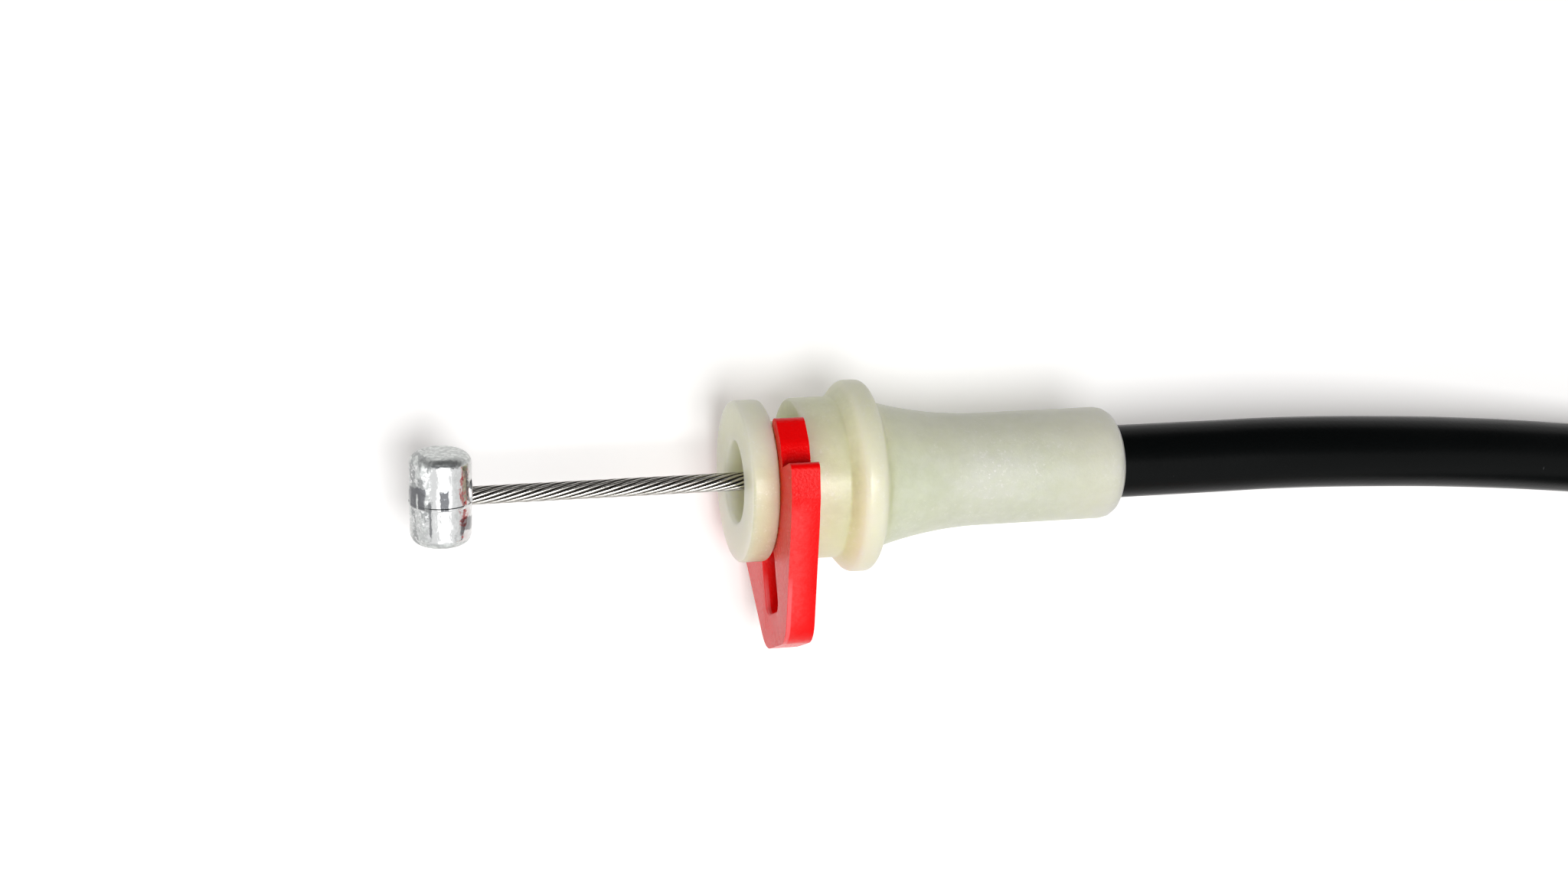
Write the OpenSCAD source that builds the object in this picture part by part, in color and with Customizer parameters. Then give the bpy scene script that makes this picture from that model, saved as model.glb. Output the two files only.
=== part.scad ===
// Bowden release cable: a stranded wire that slides in a jacketed conduit, with a barrel nipple,
// a moulded ferrule and a forked lock clip at each end. The slack is wound up and tied.
// Millimetres. +X runs along the near end from its nipple towards the conduit, +Z is up.
// The origin is on the near ferrule's axis, where its drum meets the flange.

/* [Wire] */
// Diameter of each of the nineteen wires in the strand
single_wire_d = 0.30; // [0.26:0.01:0.34]
// Bare wire between the near nipple and the near end disc, at rest
near_bare = 21; // [16:0.1:22]
// Bare wire between the far nipple and the far end disc, at rest
far_bare = 12; // [8:0.5:14]
// Wire that stays inside the ferrule and conduit when it is pulled right out
keep_in = 6; // [5.5:0.1:9]

/* [Nipple] */
// Diameter of the cast barrel
nipple_d = 4.9; // [4.5:0.1:6]
// Length of the cast barrel
nipple_len = 7.4; // [6:0.1:8]
// Radius of the barrel's end edges
nipple_edge = 0.9; // [0.3:0.1:1.2]
// Turn of the barrel about the wire, up from level
nipple_turn = 18; // [0:1:30]
// Diameter of the boss where the wire leaves the barrel
boss_d = 2.7; // [2.6:0.1:3.4]
// Height of the boss's flat below the barrel's crown
boss_drop = 0.1; // [0.05:0.05:0.25]
// Distance of the boss's centre from the wire, towards the barrel's raised end
boss_rise = 0.65; // [0:0.05:0.65]
// Metal left between the wire's end and the barrel's far side
nipple_floor = 0.6; // [0.4:0.1:1]
// Distance of the mould's seam from the barrel's middle, towards its lower end
seam_shift = 0.3; // [0:0.1:0.6]
// Width of the raised seam round the barrel
seam_w = 0.3; // [0.2:0.05:0.5]
// Height of the raised seam
seam_h = 0.05; // [0.03:0.01:0.08]

/* [Ferrule] */
// Diameter of the drum that fills the bracket's hole, and of the end disc
drum_d = 13; // [12.4:0.1:13.6]
// Length of the drum, which is the thickness that the clip locks against the flange
drum_len = 3.35; // [3:0.05:5]
// Width of the groove for the lock clip
groove_w = 2.4; // [2.4:0.05:3]
// Diameter of the neck in the groove
neck_d = 9.4; // [9:0.1:9.8]
// Thickness of the end disc
disc_t = 2.25; // [1.8:0.05:3]
// Radius of the end disc's and the drum's edges
drum_edge = 0.3; // [0.1:0.1:0.6]
// Diameter of the flange
flange_d = 15.5; // [14.6:0.1:17]
// Length of the slope between the drum and the flange's full diameter
flange_front = 1.05; // [0.8:0.05:1.5]
// Length of the flange's full diameter
flange_crest = 1.55; // [1:0.05:3]
// Length of the slope behind the flange
flange_back = 0.8; // [0.5:0.1:1.5]
// Radius of the flange's edges
flange_edge = 0.3; // [0.1:0.1:0.5]
// Diameter where the tail's flare meets the slope
flare_d = 11.9; // [11:0.1:12.6]
// Length of the hollow flare
flare_len = 9; // [6:0.5:12]
// Diameter of the plain tail
tail_d = 9.2; // [8.8:0.1:10]
// Distance from the drum's seat to the tail's end
tail_reach = 24.1; // [20:0.1:30]
// Radius of the tail's end
tail_edge = 1.6; // [0.5:0.1:1.6]
// Diameter of the bore in the end disc
mouth_d = 6.5; // [5.5:0.1:7]
// Depth of that bore
mouth_depth = 5; // [4:0.1:5.4]
// Width of the bore's lead chamfer
mouth_lead = 0.3; // [0.1:0.1:0.5]
// Thickness of the web that the conduit butts against
web_t = 1.4; // [1:0.1:3]
// Diameter of the wire's hole in the web
web_hole_d = 2.6; // [2.2:0.1:3]

/* [Lock clip] */
// Thickness of the clip's plate
clip_t = 2.3; // [1.6:0.1:2.3]
// Width across the clip's shoulders
clip_w = 19.8; // [18:0.1:21]
// Turn of the clip about the cable, with its thumb end up
clip_turn = 8; // [0:1:12]
// Height of the shoulders above the cable's axis, before the turn
clip_shoulder = 0; // [-0.5:0.1:1]
// Height of the prongs above the cable's axis, before the turn
prong_reach = 4.1; // [4:0.1:5]
// Radius of the prongs' outer sides about the cable's axis
prong_r = 7.4; // [7:0.1:8]
// Distance from the cable's axis to the thumb end
tab_reach = 13.4; // [12:0.1:16]
// Distance between the centres of the thumb end's round corners
tab_w = 3.8; // [3.4:0.1:7]
// Radius of the thumb end's corners
tab_edge = 2.6; // [1:0.1:3]
// Width of the slot in the tab
slot_w = 3.9; // [2.5:0.1:3.9]
// Distance from the cable's axis to the slot's far end
slot_reach = 10.7; // [9:0.1:11]
// Bridge between the slot and the fork
slot_bridge = 0.9; // [0.8:0.1:1.5]
// Radius of the slot's corners
slot_edge = 0.9; // [0.5:0.1:1.1]
// Width of the chamfer round the clip
clip_chamfer = 0.4; // [0.1:0.1:0.5]
// Width of the chamfer round the slot
slot_chamfer = 0.15; // [0.1:0.05:0.3]
// Running clearance between the fork and the neck
fork_gap = 0.1; // [0.05:0.01:0.2]

/* [Conduit] */
// Outside diameter of the jacket
jacket_d = 6; // [5.6:0.1:6.4]
// Outside diameter of the wound steel armour
armour_d = 4.6; // [4.2:0.1:5]
// Outside diameter of the liner
liner_d = 3.2; // [2.8:0.1:3.6]
// Bore of the liner
liner_bore_d = 2; // [1.8:0.05:2.2]
// Straight lumen left past the wire's deepest reach
end_gap = 1.8; // [1:0.1:3]
// Radial gap between pieces that seat in each other
seat_gap = 0.02; // [0.01:0.01:0.05]

/* [Coil] */
// Radius at the middle of the coil's turns
coil_mean_r = 31; // [30:0.5:36]
// Distance between neighbouring turns and between the two layers
coil_pitch = 6.5; // [6.45:0.01:7]
// Width of each coil tie
tie_w = 4; // [3:0.5:8]
// Thickness of each coil tie
tie_t = 0.6; // [0.4:0.1:0.6]
// Slack of each tie round its bundle
tie_slack = 0.15; // [0.1:0.05:0.4]

/* [Hidden] */
$fn = 64;

// The strand: one king wire, six round it and twelve outside
wire_r = 2.5 * single_wire_d;
core_r = 1.5 * single_wire_d;

// Stations along the near end
groove_x = -drum_len - groove_w;
disc_x = groove_x - disc_t;
crest_x = flange_front + flange_crest;
flare_x = crest_x + flange_back;
conduit_x = disc_x + mouth_depth + web_t;
wire_reach = near_bare + far_bare + keep_in;
conduit_end = disc_x + wire_reach + end_gap;
clip_x = groove_x + groove_w / 2;
fork_r = neck_d / 2 + fork_gap;

// The part stands on the lower shoulders of its clips and on the coil's ties
shoulder_r = 0.5;
shoulder_y = clip_shoulder - shoulder_r;
shoulder_z = clip_w / 2 - shoulder_r;
floor_z = -shoulder_y * sin(clip_turn) - shoulder_z * cos(clip_turn) - shoulder_r;
coil_low = floor_z + tie_t + jacket_d / 2;
coil_high = coil_low + coil_pitch;

// The coil's centre, and the angle of its first point from +X
coil_centre = [110, -45.5];
coil_start = 82;
coil_sweep = 4 * 360 + 172;
climb_half = 90;
rings_per_turn = 24;
coil_sides = 6;
lead_sides = 10;
tie_a_angle = 180;
tie_b_angle = 0;

// Routes of the two free stretches, between the conduit's straight ends and the coil
far_place = [62, -84, 0];
lead_route = [
    [39, 0, 0], [48, -0.3, -0.7], [58, -0.9, -2.1], [68, -1.8, -3.7],
    [78, -2.9, -5], [88, -4.1, -5.8], [98, -5.2, -6.1]
];
tail_route = [[99.5, -84, 0]];

// ---- outlines ----

function unit(v) = v / norm(v);

// The points of an arc of radius r in place of corner b between a and c
function corner(a, b, c, r, steps = 6) =
    let (
        u = unit(a - b),
        v = unit(c - b),
        half = acos(u * v) / 2,
        mid = b + unit(u + v) * r / sin(half),
        from = b + u * r / tan(half) - mid,
        to = b + v * r / tan(half) - mid,
        start = atan2(from.y, from.x),
        raw = atan2(to.y, to.x) - start,
        turn = raw > 180 ? raw - 360 : raw < -180 ? raw + 360 : raw
    )
    [for (i = [0:steps]) mid + r * [cos(start + turn * i / steps), sin(start + turn * i / steps)]];

// An outline from points [x, y, corner radius]
function rounded(p) = [
    for (i = [0:len(p) - 1])
        let (
            a = p[(i + len(p) - 1) % len(p)],
            b = p[i],
            c = p[(i + 1) % len(p)]
        )
        each b[2] == 0
            ? [[b.x, b.y]]
            : corner([a.x, a.y], [b.x, b.y], [c.x, c.y], b[2])
];

// The hollow flare from the flange's back down to the plain tail, as [radius, x, 0]
function flare() =
    let (
        drop = (flare_d - tail_d) / 2,
        r = (flare_len * flare_len + drop * drop) / (2 * drop),
        first = asin(flare_len / r),
        steps = 12
    )
    [for (i = [0:steps])
        let (a = first * (1 - i / steps))
        [tail_d / 2 + r - r * cos(a), flare_x + flare_len - r * sin(a), 0]];

// Turns a solid made about +Z so that it lies along +X
module along_x() {
    rotate([0, 90, 0]) children();
}

module rod(x0, x1, r) {
    translate([x0, 0, 0]) along_x() cylinder(h = x1 - x0, r = r);
}

module pipe(x0, x1, outer_r, inner_r) {
    difference() {
        rod(x0, x1, outer_r);
        rod(x0 - 1, x1 + 1, inner_r);
    }
}

// ---- one end's pieces, with the drum's seat at the origin ----

module nipple(bare) {
    wire_x = disc_x - bare;
    mid_x = wire_x - nipple_d / 2;
    difference() {
        union() {
            translate([mid_x, 0, 0])
                rotate([nipple_turn - 90, 0, 0])
                    rotate_extrude() {
                        polygon(rounded([
                            [0, -nipple_len / 2, 0],
                            [nipple_d / 2, -nipple_len / 2, nipple_edge],
                            [nipple_d / 2, nipple_len / 2, nipple_edge],
                            [0, nipple_len / 2, 0]
                        ]));
                        translate([0, -seam_shift - seam_w / 2])
                            square([nipple_d / 2 + seam_h, seam_w]);
                    }
            translate([0, boss_rise * cos(nipple_turn), boss_rise * sin(nipple_turn)])
                rod(mid_x, wire_x - boss_drop, boss_d / 2);
        }
        rod(wire_x - nipple_d + nipple_floor, wire_x + 1, wire_r + seat_gap);
    }
}

module wire_core(bare, hidden) {
    rod(disc_x - bare - nipple_d + nipple_floor, disc_x + hidden, core_r);
}

module wire_strands(bare, hidden) {
    pipe(disc_x - bare - nipple_d + nipple_floor, disc_x + hidden, wire_r, core_r + seat_gap);
}

module ferrule() {
    outline = concat(
        [
            [0, disc_x, 0],
            [drum_d / 2, disc_x, drum_edge],
            [drum_d / 2, groove_x, drum_edge],
            [neck_d / 2, groove_x, 0],
            [neck_d / 2, -drum_len, 0],
            [drum_d / 2, -drum_len, drum_edge],
            [drum_d / 2, 0, 0],
            [flange_d / 2, flange_front, flange_edge],
            [flange_d / 2, crest_x, flange_edge]
        ],
        flare(),
        [
            [tail_d / 2, tail_reach, tail_edge],
            [0, tail_reach, 0]
        ]
    );
    difference() {
        along_x() rotate_extrude() polygon(rounded(outline));
        rod(disc_x - 1, disc_x + mouth_depth, mouth_d / 2);
        translate([disc_x, 0, 0])
            along_x()
                cylinder(h = mouth_lead, r1 = mouth_d / 2 + mouth_lead, r2 = mouth_d / 2);
        rod(disc_x, tail_reach, web_hole_d / 2);
        rod(conduit_x, tail_reach + 1, jacket_d / 2 + seat_gap);
    }
}

// A plate across X whose round corners are [y, z, radius], chamfered on both faces
module chamfered_plate(corners) {
    along_x() hull() {
        for (c = corners) {
            translate([-c[1], c[0], 0]) {
                cylinder(h = clip_t - 2 * clip_chamfer, r = c[2], center = true, $fn = 32);
                cylinder(h = clip_t, r = c[2] - clip_chamfer, center = true, $fn = 32);
            }
        }
    }
}

// A chamfered cutter for an opening whose round corners are [y, z, radius]
module chamfered_hole(corners) {
    for (side = [-1, 1]) {
        along_x() hull() {
            for (c = corners) {
                translate([-c[1], c[0], side * (clip_t / 2 - slot_chamfer)])
                    cylinder(h = 2 * slot_chamfer, r = c[2], center = true, $fn = 32);
                translate([-c[1], c[0], side * clip_t / 2])
                    cylinder(h = 0.01, r = c[2] + slot_chamfer, center = true, $fn = 32);
            }
        }
    }
    along_x() hull() {
        for (c = corners) {
            translate([-c[1], c[0], 0]) cylinder(h = clip_t, r = c[2], center = true, $fn = 32);
        }
    }
}

// A round corner at height y whose far side lies prong_r from the cable's axis
function prong_corner(y, r, side) = [y, side * sqrt(pow(prong_r - r, 2) - y * y), r];

// The fork's prongs point to +Y and its thumb tab to -Y, before the turn
module clip() {
    flank = [[2.1, 0.55], [3.9, 1.45]];
    root_r = 1.6;
    tip_r = 0.9;
    slot_top = -fork_r - slot_bridge;
    translate([clip_x, 0, 0])
        rotate([-clip_turn, 0, 0])
            difference() {
                union() {
                    chamfered_plate([
                        for (side = [-1, 1]) each [
                            [shoulder_y, side * shoulder_z, shoulder_r],
                            for (f = flank)
                                [shoulder_y - f[0], side * (shoulder_z - f[1]), shoulder_r],
                            [tab_edge - tab_reach, side * tab_w / 2, tab_edge]
                        ]
                    ]);
                    for (side = [-1, 1]) {
                        chamfered_plate([
                            prong_corner(-root_r, root_r, side),
                            prong_corner(root_r, root_r, side),
                            prong_corner(prong_reach - tip_r, tip_r, side)
                        ]);
                    }
                }
                along_x() cylinder(h = clip_t + 1, r = fork_r, center = true);
                translate([-clip_t / 2 - 0.5, 0, -fork_r])
                    cube([clip_t + 1, prong_reach + 1, 2 * fork_r]);
                chamfered_hole([
                    for (side = [-1, 1]) each [
                        [slot_top - slot_edge, side * (slot_w / 2 - slot_edge), slot_edge],
                        [slot_edge - slot_reach, side * (slot_w / 2 - slot_edge), slot_edge]
                    ]
                ]);
            }
}

module liner() {
    pipe(conduit_x, conduit_end, liner_d / 2, liner_bore_d / 2);
}

module armour() {
    pipe(conduit_x, conduit_end, armour_d / 2, liner_d / 2 + seat_gap);
}

module jacket() {
    pipe(conduit_x, conduit_end, jacket_d / 2, armour_d / 2 + seat_gap);
}

// ---- the sheath's free stretches ----

// Distance from the coil's centre after t degrees: in at a steady rate, then out again
function coil_r(t) = coil_mean_r + coil_pitch * (abs(t - coil_sweep / 2) - coil_sweep / 4) / 360;

// Height after t degrees: one layer up within the half turn where the spiral reverses
function coil_z(t) =
    let (
        s = (t - coil_sweep / 2 + climb_half) / (2 * climb_half),
        k = min(1, max(0, s))
    )
    coil_low + coil_pitch * k * k * (3 - 2 * k);

function coil_point(t) = [
    coil_centre.x + coil_r(t) * cos(coil_start - t),
    coil_centre.y + coil_r(t) * sin(coil_start - t),
    coil_z(t)
];

function coil_heading(t) = unit(coil_point(t + 0.5) - coil_point(t - 0.5));

coil_steps = round(coil_sweep * rings_per_turn / 360);
coil_in = coil_point(0) - jacket_d * coil_heading(0);
coil_out = coil_point(coil_sweep) + jacket_d * coil_heading(coil_sweep);
coil_path = concat(
    [coil_in],
    [for (i = [0:coil_steps]) coil_point(coil_sweep * i / coil_steps)],
    [coil_out]
);
lead_path = concat([[conduit_end, 0, 0]], lead_route, [coil_in]);
tail_path = concat([coil_out], tail_route, [far_place + [conduit_end, 0, 0]]);

// Length of a path from its point i on
function path_len(p, i = 1) = i == len(p) ? 0 : norm(p[i] - p[i - 1]) + path_len(p, i + 1);

// Least distance between points of the coil at least half a turn apart, less the jacket
coil_gap = min([
    for (i = [0:len(coil_path) - 1])
        for (j = [i + rings_per_turn / 2:1:len(coil_path) - 1])
            norm(coil_path[i] - coil_path[j])
]) - jacket_d;

// Direction of the path at its point i; the ends face what they meet
function path_dir(p, i, first, last) =
    i == 0 ? first : i == len(p) - 1 ? last : unit(unit(p[i + 1] - p[i]) + unit(p[i] - p[i - 1]));

// A round tube of triangles swept along a path that never stands upright
module tube(path, sides, first, last) {
    n = len(path);
    ring = [
        for (i = [0:n - 1])
            let (
                dir = path_dir(path, i, first, last),
                side = unit(cross([0, 0, 1], dir)),
                up = cross(dir, side)
            )
            for (k = [0:sides - 1])
                let (a = 90 + 360 * k / sides)
                path[i] + jacket_d / 2 * (side * cos(a) + up * sin(a))
    ];
    wall = [
        for (i = [0:n - 2])
            for (k = [0:sides - 1])
                let (
                    a = i * sides + k,
                    b = i * sides + (k + 1) % sides,
                    c = b + sides,
                    d = a + sides
                )
                each [[a, b, c], [a, c, d]]
    ];
    start_cap = [for (k = [1:sides - 2]) [0, k + 1, k]];
    end_ring = (n - 1) * sides;
    end_cap = [for (k = [1:sides - 2]) [end_ring, end_ring + k, end_ring + k + 1]];
    polyhedron(points = ring, faces = concat(wall, start_cap, end_cap));
}

// A strap pulled round every turn that crosses the given angle about the coil's centre
module tie(angle) {
    first = (coil_start - angle + 720) % 360;
    crossings = [for (t = [first:360:coil_sweep]) [coil_r(t), coil_z(t)]];
    translate([coil_centre.x, coil_centre.y, 0])
        rotate([90, 0, angle])
            linear_extrude(height = tie_w, center = true)
                difference() {
                    hull() bundle(crossings, jacket_d / 2 + tie_t);
                    hull() bundle(crossings, jacket_d / 2);
                }
}

module bundle(crossings, r) {
    for (c = crossings) {
        for (slack = [-tie_slack, tie_slack]) {
            translate([c.x + slack, c.y]) circle(r = r, $fn = 24);
        }
    }
}

// ---- the nodes ----

near_hidden = far_bare + keep_in;
far_hidden = near_bare + keep_in;
zinc = "#c9ccd0";
steel = "#9ea1a3";
nylon = "#d8d9bf";
lock_red = "#f0101a";
black = "#17181a";

module near_nipple() { color(zinc) nipple(near_bare); }
module near_wire_core() { color(steel) wire_core(near_bare, near_hidden); }
module near_wire_strands() { color(steel) wire_strands(near_bare, near_hidden); }
module near_ferrule() { color(nylon) ferrule(); }
module near_clip() { color(lock_red) clip(); }
module near_liner() { color("white") liner(); }
module near_armour() { color(steel) armour(); }
module near_jacket() { color(black) jacket(); }

module sheath_lead() {
    color(black) tube(lead_path, lead_sides, [1, 0, 0], coil_heading(0));
}
module sheath_coil() {
    color(black) tube(coil_path, coil_sides, coil_heading(0), coil_heading(coil_sweep));
}
module sheath_tail() {
    color(black) tube(tail_path, lead_sides, coil_heading(coil_sweep), [-1, 0, 0]);
}
module coil_tie_a() { color("#3a3c40") tie(tie_a_angle); }
module coil_tie_b() { color("#3a3c40") tie(tie_b_angle); }

module far_nipple() { color(zinc) translate(far_place) nipple(far_bare); }
module far_wire_core() { color(steel) translate(far_place) wire_core(far_bare, far_hidden); }
module far_wire_strands() { color(steel) translate(far_place) wire_strands(far_bare, far_hidden); }
module far_ferrule() { color(nylon) translate(far_place) ferrule(); }
module far_clip() { color(lock_red) translate(far_place) mirror([0, 1, 0]) clip(); }
module far_liner() { color("white") translate(far_place) liner(); }
module far_armour() { color(steel) translate(far_place) armour(); }
module far_jacket() { color(black) translate(far_place) jacket(); }

echo(coil_least_gap_to_itself = coil_gap);
echo(sheath_free_length = path_len(lead_path) + path_len(coil_path) + path_len(tail_path));
echo(wire_deepest_reach = wire_reach, conduit_end = conduit_end, floor_z = floor_z);

near_nipple();
near_wire_core();
near_wire_strands();
near_ferrule();
near_clip();
near_liner();
near_armour();
near_jacket();
sheath_lead();
sheath_coil();
sheath_tail();
coil_tie_a();
coil_tie_b();
far_nipple();
far_wire_core();
far_wire_strands();
far_ferrule();
far_clip();
far_liner();
far_armour();
far_jacket();
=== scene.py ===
import math

import bmesh
import bpy
from mathutils import Matrix, Vector


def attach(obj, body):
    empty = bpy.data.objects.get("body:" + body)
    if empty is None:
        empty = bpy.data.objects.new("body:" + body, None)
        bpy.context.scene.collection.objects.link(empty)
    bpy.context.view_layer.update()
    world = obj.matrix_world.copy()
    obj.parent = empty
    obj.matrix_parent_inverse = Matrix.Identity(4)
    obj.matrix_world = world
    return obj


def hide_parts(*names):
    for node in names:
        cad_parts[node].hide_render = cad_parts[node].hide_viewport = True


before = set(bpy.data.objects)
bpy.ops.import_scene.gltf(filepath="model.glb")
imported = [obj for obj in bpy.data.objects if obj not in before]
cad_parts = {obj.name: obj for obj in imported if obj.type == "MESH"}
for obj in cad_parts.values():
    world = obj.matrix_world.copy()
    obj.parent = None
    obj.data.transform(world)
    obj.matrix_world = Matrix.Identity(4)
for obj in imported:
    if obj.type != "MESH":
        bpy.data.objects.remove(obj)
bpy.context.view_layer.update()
bpy.ops.object.select_all(action="DESELECT")

mm = 0.001  # lengths are in millimetres, and angles in degrees, unless a note says otherwise
fullTurn = 2 * math.pi
weldGap = 0.001 * mm
pickGap = 0.0001 * mm
creaseAngle = 28  # edges sharper than this stay crisp
flatAngle = 0.5  # faces closer to flat than this are joined
farPlace = Vector((62, -84, 0))  # the far ferrule's seat
farSlack = Vector((9, 0, 0))  # the far wire stands out less than the near one by this

cameraView = {
    "tilt": 14.07,
    "roll": 2.84,
    "distance": 220.0,
    "centre": (-3.73, 2.90),
    "scale": 16.19,  # pixels for each millimetre at the ferrule
    "imageWidth": 2048,
    "sensor": 36.0,
    "nearest": 0.01,  # in metres, as is the farthest
    "farthest": 10,
}


def makeCamera(view):
    data = bpy.data.cameras.new("bench_camera")
    data.sensor_width = view["sensor"]
    data.lens = view["sensor"] * view["scale"] * view["distance"] / view["imageWidth"]
    data.clip_start = view["nearest"]
    data.clip_end = view["farthest"]
    camera = bpy.data.objects.new("bench_camera", data)
    bpy.context.scene.collection.objects.link(camera)
    turn = Matrix.Rotation(math.radians(-view["tilt"]), 4, "Y")
    turn = turn @ Matrix.Rotation(math.radians(-view["roll"]), 4, "Z")
    eye = turn @ Vector((*view["centre"], view["distance"]))
    camera.matrix_world = Matrix.Translation(eye * mm) @ turn
    bpy.context.scene.camera = camera


makeCamera(cameraView)
print("camera set")

socketNames = {
    "colour": "Base Color",
    "metallic": "Metallic",
    "roughness": "Roughness",
    "normal": "Normal",
    "ior": "IOR",
    "specular": "Specular IOR Level",
    "sheen": "Sheen Weight",
    "subsurface": "Subsurface Weight",
    "subsurfaceRadius": "Subsurface Radius",
    "subsurfaceScale": "Subsurface Scale",
    "glow": "Emission Strength",
    "glowColour": "Emission Color",
}


def colour(red, green, blue):
    # from the 0 to 255 of a colour picker, by the curve that screens use
    return tuple(((value / 255 + 0.055) / 1.055) ** 2.4 for value in (red, green, blue)) + (1,)


class Flow:
    # a value in a node tree: arithmetic on it adds Math nodes

    def __init__(self, finish, socket):
        self.finish = finish
        self.socket = socket

    def work(self, operation, *values):
        return self.finish.add("Math", {"operation": operation}, dict(enumerate(values)))

    def __add__(self, other):
        return self.work("ADD", self, other)

    def __sub__(self, other):
        return self.work("SUBTRACT", self, other)

    def __mul__(self, other):
        return self.work("MULTIPLY", self, other)

    def __pow__(self, other):
        return self.work("POWER", self, other)

    def __rsub__(self, other):
        return self.work("SUBTRACT", other, self)

    def __abs__(self):
        return self.work("ABSOLUTE", self)

    __radd__ = __add__
    __rmul__ = __mul__

    def orMore(self, other):
        return self.work("MAXIMUM", self, other)

    def rise(self, low, high):
        # 0 below low, 1 above high, and smooth between them
        ends = {"Value": self, "From Min": low, "From Max": high}
        return self.finish.add("MapRange", {"interpolation_type": "SMOOTHSTEP"}, ends)

    def fall(self, low, high):
        return 1 - self.rise(low, high)

    def window(self, start, full, fade, end):
        # 1 from full to fade, and 0 before start and after end
        return self.rise(start, full) * self.fall(fade, end)


class Finish:
    # the nodes of a material or of the world

    def __init__(self, owner, shader="Principled BSDF"):
        owner.use_nodes = True
        self.owner = owner
        self.tree = owner.node_tree
        self.shader = self.tree.nodes[shader]

    def feed(self, socket, value):
        if isinstance(value, Flow):
            self.tree.links.new(value.socket, socket)
        else:
            socket.default_value = value

    def add(self, kind, settings=None, inputs=None, output=0):
        node = self.tree.nodes.new("ShaderNode" + kind)
        for key, value in (settings or {}).items():
            setattr(node, key, value)
        for key, value in (inputs or {}).items():
            self.feed(node.inputs[key], value)
        return Flow(self, node.outputs[output])

    def place(self, shift=(0, 0, 0), stretch=(1, 1, 1)):
        # object coordinates in millimetres from a point
        spot = self.add("TexCoord", output=3)
        scale = [value / mm for value in stretch]
        location = [-a * b for a, b in zip(shift, stretch)]
        return self.add("Mapping", None, {"Vector": spot, "Location": location, "Scale": scale})

    def split(self, place):
        apart = self.add("SeparateXYZ", None, {0: place})
        return [Flow(self, output) for output in apart.socket.node.outputs]

    def sight(self):
        # the rays that show the camera something: straight, mirrored or let through
        outputs = self.add("LightPath").socket.node.outputs
        names = ("Is Camera Ray", "Is Glossy Ray", "Is Transmission Ray")
        return [Flow(self, outputs[name]) for name in names]

    def noise(self, place, scale, detail=2.0, roughness=0.5):
        inputs = {"Vector": place, "Scale": scale, "Detail": detail, "Roughness": roughness}
        return self.add("TexNoise", None, inputs)

    def wave(self, place, direction, scale):
        settings = {"bands_direction": direction}
        return self.add("TexWave", settings, {"Vector": place, "Scale": scale})

    def blend(self, factor, first, second):
        # each tone is a flow, or the 0 to 255 of a colour picker
        tones = [tone if isinstance(tone, Flow) else colour(*tone) for tone in (first, second)]
        inputs = {0: factor, 6: tones[0], 7: tones[1]}  # the factor and the two colour sockets
        return self.add("Mix", {"data_type": "RGBA"}, inputs, output=2)

    def bump(self, height, distance, strength, below=None):
        inputs = {"Height": height, "Distance": distance * mm, "Strength": strength}
        if below is not None:
            inputs["Normal"] = below
        return self.add("Bump", None, inputs)

    def shine(self, **sockets):
        for key, value in sockets.items():
            self.feed(self.shader.inputs[socketNames[key]], value)
        return self.owner


def startFinish(name):
    return Finish(bpy.data.materials.new(name))


def pick(shape, kind, test):
    # selects the vertices or edges that pass the test
    bpy.ops.mesh.select_mode(type=kind)
    bpy.ops.mesh.select_all(action="DESELECT")
    mesh = bmesh.from_edit_mesh(shape.data)
    for item in {"VERT": mesh.verts, "EDGE": mesh.edges}[kind]:
        if test(item):
            item.select_set(True)
    mesh.select_flush_mode()
    bmesh.update_edit_mesh(shape.data)


def modify(shape, kind, **settings):
    modifier = shape.modifiers.new(kind.lower(), kind)
    for key, value in settings.items():
        setattr(modifier, key, value)
    bpy.context.view_layer.objects.active = shape
    bpy.ops.object.modifier_apply(modifier=modifier.name)


def bevelEdges(shape, width, segments, angle):
    limit = math.radians(angle)
    modify(shape, "BEVEL", width=width * mm, segments=segments, angle_limit=limit)


def combine(shape, tool, operation):
    modify(shape, "BOOLEAN", object=tool, operation=operation, solver="EXACT")
    bpy.data.objects.remove(tool)


def smoothShape(shape, angle):
    bpy.ops.object.select_all(action="DESELECT")
    shape.select_set(True)
    bpy.context.view_layer.objects.active = shape
    bpy.ops.object.shade_smooth_by_angle(angle=math.radians(angle))
    bpy.ops.object.select_all(action="DESELECT")


def startShape(name):
    # a mesh of one point at the origin, in edit mode
    bpy.ops.mesh.primitive_plane_add(size=mm)
    shape = bpy.context.object
    shape.name = shape.data.name = name
    bpy.ops.object.mode_set(mode="EDIT")
    bpy.ops.mesh.select_mode(type="VERT")
    bpy.ops.mesh.merge(type="CENTER")
    return shape


def closeShape(shape):
    bpy.ops.mesh.select_all(action="SELECT")
    bpy.ops.mesh.remove_doubles(threshold=weldGap)
    bpy.ops.mesh.normals_make_consistent(inside=False)
    bpy.ops.object.mode_set(mode="OBJECT")
    smoothShape(shape, creaseAngle)
    return shape


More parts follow.
